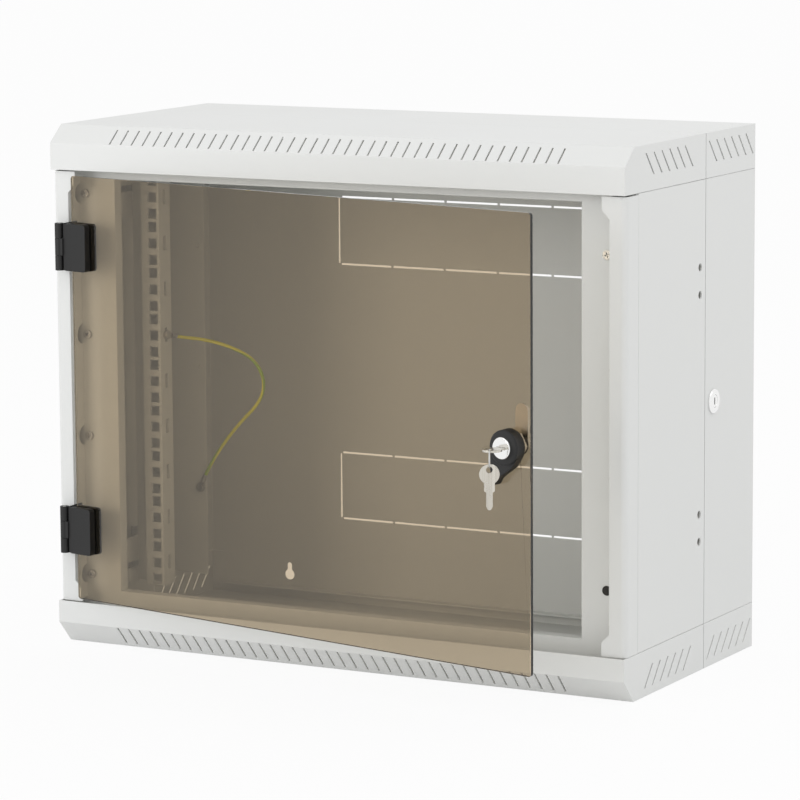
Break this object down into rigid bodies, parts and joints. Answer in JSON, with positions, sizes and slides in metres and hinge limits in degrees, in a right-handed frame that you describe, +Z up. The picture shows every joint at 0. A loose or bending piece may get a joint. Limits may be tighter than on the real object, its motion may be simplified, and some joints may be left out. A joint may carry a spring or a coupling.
{
  "type": "wall mount network cabinet",
  "caption": "Wall mount network cabinet with a swinging double section, vented folded hoods, square-hole rack rails and a tinted glass door on clamp hinges.",
  "frame": {"origin": "On the wall plane, at the centre of the back face of the rear section", "axes": "+Z is up, +Y points into the wall and -Y towards the user, +X is to the user's right across the width"},
  "size_m": [0.6107, 0.4444, 0.5],
  "materials": {
    "grey_paint": "satin powder coat",
    "bronze_glass": "clear, bronze tinted",
    "black_plastic": "fine grained",
    "chrome": "polished",
    "zinc": "zinc plated",
    "nickel_key": "nickel plated, fine brushed",
    "wire_sheath": "smooth"
  },
  "bodies": {
    "rear_section": {"back_panel": "grey_paint", "rear_side_left": "grey_paint", "rear_side_right": "grey_paint", "hood_top_rear": "grey_paint", "hood_bottom_rear": "grey_paint", "swing_leaf_rear_upper": "grey_paint", "swing_leaf_rear_lower": "grey_paint", "swing_pin_upper": "zinc", "swing_pin_lower": "zinc", "side_lock_body": "chrome", "side_lock_nut": "zinc", "earth_terminal_rear": "zinc", "earth_screw_rear": "zinc", "earth_wire": "wire_sheath"},
    "side_lock_turning": {"side_lock_core": "chrome", "side_lock_cam": "zinc", "side_lock_cam_screw": "zinc"},
    "front_section": {"front_frame": "grey_paint", "hood_top_front": "grey_paint", "hood_bottom_front": "grey_paint", "column_left": "grey_paint", "column_right": "grey_paint", "side_panel_left": "grey_paint", "side_panel_right": "grey_paint", "rack_rail_left": "grey_paint", "rack_rail_right": "grey_paint", "rail_bracket_upper_left": "grey_paint", "rail_bracket_upper_right": "grey_paint", "rail_bracket_lower_left": "grey_paint", "rail_bracket_lower_right": "grey_paint", "rail_screws_left": "zinc", "rail_screws_right": "zinc", "frame_screws": "zinc", "spot_screws": "zinc", "hole_plug": "black_plastic", "swing_leaf_front_upper": "grey_paint", "swing_leaf_front_lower": "grey_paint", "swing_leaf_screws": "zinc", "side_lock_keeper": "grey_paint", "door_leaf_upper": "black_plastic", "door_leaf_lower": "black_plastic", "door_pin_upper": "zinc", "door_pin_lower": "zinc", "door_leaf_rivets": "zinc", "earth_terminal_front": "zinc", "earth_screw_front": "zinc"},
    "door": {"door_glass": "bronze_glass", "door_clamp_upper": "black_plastic", "door_clamp_lower": "black_plastic", "door_clamp_screws": "zinc", "lock_bushing": "black_plastic", "lock_bush_nut": "zinc"},
    "handle": {"lock_handle": "black_plastic", "lock_cam": "zinc", "lock_cam_screw": "zinc"},
    "cylinder": {"lock_cylinder": "chrome", "door_key": "nickel_key"},
    "ring": {"key_ring": "zinc"},
    "spare": {"spare_key": "nickel_key"}
  },
  "joints": [
    {"name": "front_swing", "type": "hinge", "parent": "rear_section", "child": "front_section", "pos_m": [-0.3045, -0.1155, 0], "axis": [0, 0, -1], "range_deg": [0, 90], "deforming": ["earth_wire"]},
    {"name": "side_lock_turn", "type": "hinge", "parent": "rear_section", "child": "side_lock_turning", "pos_m": [0.29, -0.0972, 0], "axis": [-1, 0, 0], "range_deg": [0, 90]},
    {"name": "door_swing", "type": "hinge", "parent": "front_section", "child": "door", "pos_m": [-0.2875, -0.296, 0], "axis": [0, 0, -1], "range_deg": [-12, 158]},
    {"name": "handle_turn", "type": "hinge", "parent": "door", "child": "handle", "pos_m": [0.24492, -0.40334, -0.0011], "axis": [0.2079, 0.9781, 0], "range_deg": [0, 90]},
    {"name": "key_turn", "type": "hinge", "parent": "handle", "child": "cylinder", "pos_m": [0.24492, -0.40334, -0.0011], "axis": [0.2079, 0.9781, 0], "range_deg": [0, 90]},
    {"name": "ring_swing", "type": "hinge", "parent": "cylinder", "child": "ring", "pos_m": [0.24054, -0.43695, -0.00707], "axis": [0.8805, 0.4741, 0], "range_deg": [-15, 15]},
    {"name": "spare_key_swing", "type": "hinge", "parent": "ring", "child": "spare", "pos_m": [0.24054, -0.43695, -0.01697], "axis": [0.4741, -0.8805, 0], "range_deg": [-20, 20]}
  ]
}
